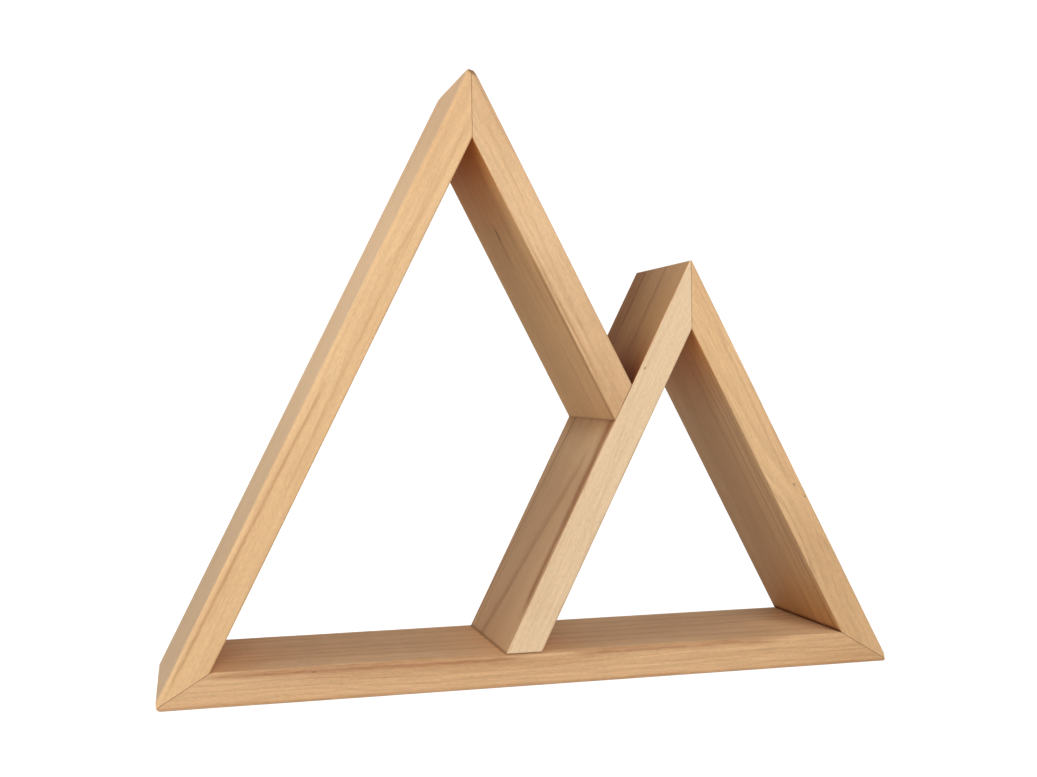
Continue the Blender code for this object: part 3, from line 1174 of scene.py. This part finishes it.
FLOOR_WIDTH = 60.0
FLOOR_GAP = 0.2 * MM  # keeps the floor clear of the underside


def strength_by_ray(tree, seen, mirrored, felt):
    """A glow as strong as `seen` to the camera, `mirrored` in sheens and `felt` as a light."""
    path = tree.nodes.new("ShaderNodeLightPath")
    lights = tree.nodes.new("ShaderNodeMapRange")
    tree.links.new(path.outputs["Is Glossy Ray"], lights.inputs["Value"])
    lights.inputs["To Min"].default_value = felt
    lights.inputs["To Max"].default_value = mirrored
    strength = tree.nodes.new("ShaderNodeMapRange")
    tree.links.new(path.outputs["Is Camera Ray"], strength.inputs["Value"])
    tree.links.new(lights.outputs[0], strength.inputs["To Min"])
    strength.inputs["To Max"].default_value = seen
    return strength.outputs[0]


def middle_of_shelf():
    return (cad_low + cad_high) / 2


def floor_material():
    """A pale glowing table, brighter further off. Its glow shows but doesn't light the shelf."""
    graph = Graph("studio_floor")
    graph.shade("Base Color", TABLE_GREY)
    graph.shade("Roughness", 0.9)
    graph.shade("Emission Color", WHITE)
    away = graph.node("ShaderNodeVectorMath", operation="DISTANCE")
    graph.put(away.inputs[0], graph.node("ShaderNodeNewGeometry").outputs["Position"])
    graph.put(away.inputs[1], middle_of_shelf())
    far = graph.smooth(away.outputs["Value"], 0.35, 1.6)
    glow = graph.math("MULTIPLY_ADD", far, 0.35, 1.0)
    strength = strength_by_ray(graph.tree, seen=0.68, mirrored=0.1, felt=0.0)
    graph.shade("Emission Strength", graph.product(glow, strength))
    return graph.material


def make_floor():
    half = FLOOR_WIDTH / 2
    corners = [(-half, -half), (half, -half), (half, half), (-half, half)]
    level = cad_low.z - FLOOR_GAP
    mesh = bpy.data.meshes.new("studio_floor")
    mesh.from_pydata([(x, y, level) for x, y in corners], [], [(0, 1, 2, 3)])
    mesh.materials.append(floor_material())
    add_object("studio_floor", mesh)


def make_world():
    """Soft white surroundings: full white to the camera, dimmer as a light."""
    world = bpy.data.worlds.new("studio")
    bpy.context.scene.world = world
    world.use_nodes = True
    tree = world.node_tree
    background = tree.nodes["Background"]
    background.inputs["Color"].default_value = (*WHITE, 1.0)
    strength = strength_by_ray(tree, seen=1.1, mirrored=0.28, felt=0.26)
    tree.links.new(strength, background.inputs["Strength"])


def soft_light(name, offset, size, power):
    """A round soft light, `offset` from the middle of the shelf and turned to it."""
    lamp = bpy.data.lights.new(name, "AREA")
    lamp.shape = "DISK"
    lamp.size = size
    lamp.energy = power
    light = add_object(name, lamp)
    light.location = middle_of_shelf() + Vector(offset)
    light.rotation_euler = (middle_of_shelf() - light.location).to_track_quat("-Z", "Y").to_euler()


def make_camera():
    stand = middle_of_shelf()
    stand.z = cad_low.z
    lens = bpy.data.cameras.new("camera")
    lens.lens = CAMERA_LENS
    lens.sensor_width = CAMERA_SENSOR
    lens.clip_start = 0.01
    camera = add_object("camera", lens)
    turn = Matrix.Rotation(math.radians(CAMERA_TURN), 4, "Z")
    pitch = Matrix.Rotation(math.radians(CAMERA_PITCH), 4, "X")
    roll = Matrix.Rotation(math.radians(CAMERA_ROLL), 4, "Y")
    level = Matrix.Rotation(math.radians(90.0), 4, "X")
    place = Matrix.Translation(stand + Vector(CAMERA_PLACE))
    camera.matrix_world = place @ turn @ pitch @ roll @ level
    bpy.context.scene.camera = camera


def make_studio():
    make_floor()
    make_world()
    soft_light("key", offset=(0.15, -1.8, 0.95), size=1.2, power=24.0)
    soft_light("right_fill", offset=(1.7, 0.2, 0.7), size=1.6, power=7.0)
    soft_light("left_fill", offset=(-1.6, -0.5, 0.55), size=2.4, power=21.0)
    bpy.context.scene.view_settings.view_transform = "Standard"
    make_camera()


make_base()
make_large_left()
make_large_right()
make_small_left()
make_small_right()
finish_brads()
make_studio()
